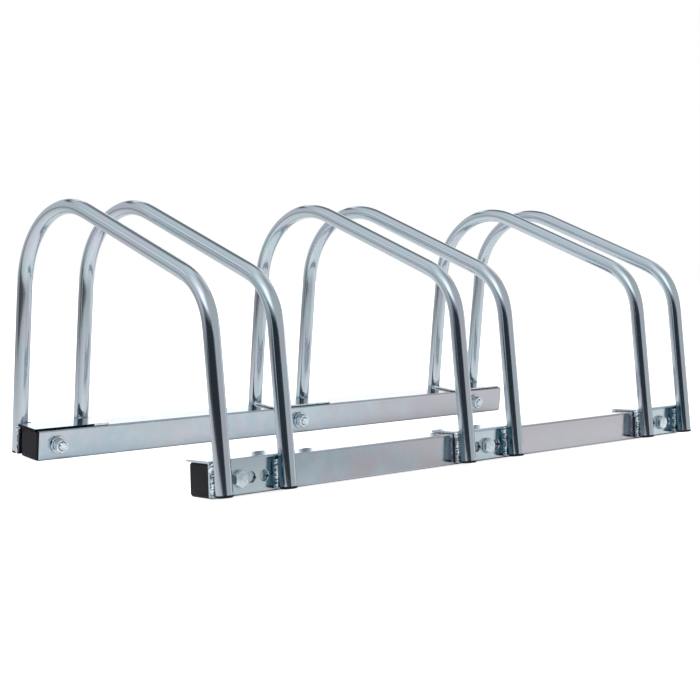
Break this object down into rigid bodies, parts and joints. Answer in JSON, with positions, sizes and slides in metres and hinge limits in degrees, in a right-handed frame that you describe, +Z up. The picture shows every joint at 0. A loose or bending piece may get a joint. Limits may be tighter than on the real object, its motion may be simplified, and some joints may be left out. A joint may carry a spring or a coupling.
{
  "type": "bicycle floor rack",
  "caption": "Free-standing floor rack that holds bicycles by the front wheel between pairs of bent tube loops bolted to square rails.",
  "frame": {"origin": "on the floor, under the middle of the rack's outline", "axes": "+X along the rails from the left end to the right end as seen from the front, +Y from the front, where the loops are low, to the rear, where they are high, +Z up"},
  "size_m": [0.6772, 0.3443, 0.2541],
  "materials": {
    "zinc_rail": "bright zinc plating on square tube",
    "zinc_sheet": "bright zinc plating on bent sheet",
    "zinc_tube": "bright zinc plating on round tube",
    "zinc_fastener": "zinc plating on bolts, nuts and washers",
    "black_plastic": "fine-grained black plastic"
  },
  "bodies": {
    "root": {"front_rail": "zinc_rail", "front_rail_cap_left": "black_plastic", "front_rail_cap_right": "black_plastic", "front_bracket_left": "zinc_sheet", "front_bolt_left": "zinc_fastener", "front_washer_left": "zinc_fastener", "front_nut_left": "zinc_fastener", "front_bracket_middle": "zinc_sheet", "front_bolt_middle": "zinc_fastener", "front_washer_middle": "zinc_fastener", "front_nut_middle": "zinc_fastener", "front_bracket_right": "zinc_sheet", "front_bolt_right": "zinc_fastener", "front_washer_right": "zinc_fastener", "front_nut_right": "zinc_fastener", "rear_rail": "zinc_rail", "rear_rail_cap_left": "black_plastic", "rear_rail_cap_right": "black_plastic", "rear_bracket_left": "zinc_sheet", "rear_bolt_left": "zinc_fastener", "rear_washer_left": "zinc_fastener", "rear_nut_left": "zinc_fastener", "rear_bracket_middle": "zinc_sheet", "rear_bolt_middle": "zinc_fastener", "rear_washer_middle": "zinc_fastener", "rear_nut_middle": "zinc_fastener", "rear_bracket_right": "zinc_sheet", "rear_bolt_right": "zinc_fastener", "rear_washer_right": "zinc_fastener", "rear_nut_right": "zinc_fastener", "wheel_loop_1": "zinc_tube", "loop_1_front_plug": "black_plastic", "loop_1_rear_plug": "black_plastic", "wheel_loop_2": "zinc_tube", "loop_2_front_plug": "black_plastic", "loop_2_rear_plug": "black_plastic", "wheel_loop_3": "zinc_tube", "loop_3_front_plug": "black_plastic", "loop_3_rear_plug": "black_plastic", "wheel_loop_4": "zinc_tube", "loop_4_front_plug": "black_plastic", "loop_4_rear_plug": "black_plastic", "wheel_loop_5": "zinc_tube", "loop_5_front_plug": "black_plastic", "loop_5_rear_plug": "black_plastic", "wheel_loop_6": "zinc_tube", "loop_6_front_plug": "black_plastic", "loop_6_rear_plug": "black_plastic"}
  },
  "joints": []
}
